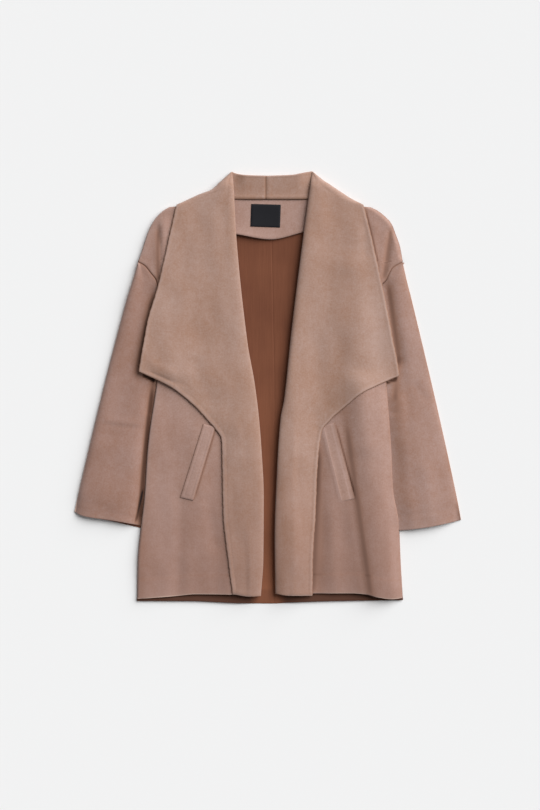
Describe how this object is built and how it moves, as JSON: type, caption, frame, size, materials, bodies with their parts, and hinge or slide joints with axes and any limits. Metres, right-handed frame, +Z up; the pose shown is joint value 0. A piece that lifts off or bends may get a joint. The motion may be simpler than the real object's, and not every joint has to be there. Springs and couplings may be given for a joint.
{
  "type": "faux suede coat laid flat",
  "caption": "Open-front coat in matt faux suede with wide turned-back waterfall lapels, shawl collar, dropped shoulders and slanted pocket welts, laid flat on its back.",
  "frame": {"origin": "middle of the coat's extents across and along, on the surface that it lies on", "axes": "+Z up from the surface, +Y from hem to collar, +X towards the side that the picture shows on its right"},
  "size_m": [0.7744, 0.8654, 0.0186],
  "materials": {
    "suede": "matt taupe faux suede, softly mottled nap",
    "lapel_suede": "the same faux suede with its nap brushed lighter on the lapels",
    "wrong_side": "smooth rust-brown back of the cloth, matt",
    "label": "bare near-black woven satin label"
  },
  "bodies": {
    "root": {"back_left": "wrong_side", "back_right": "wrong_side", "front_left": "suede", "front_right": "suede", "lapel_left": "lapel_suede", "lapel_right": "lapel_suede", "sleeve_left": "suede", "sleeve_right": "suede", "welt_left": "suede", "welt_right": "suede", "back_neck_facing": "suede", "label": "label"}
  },
  "joints": []
}
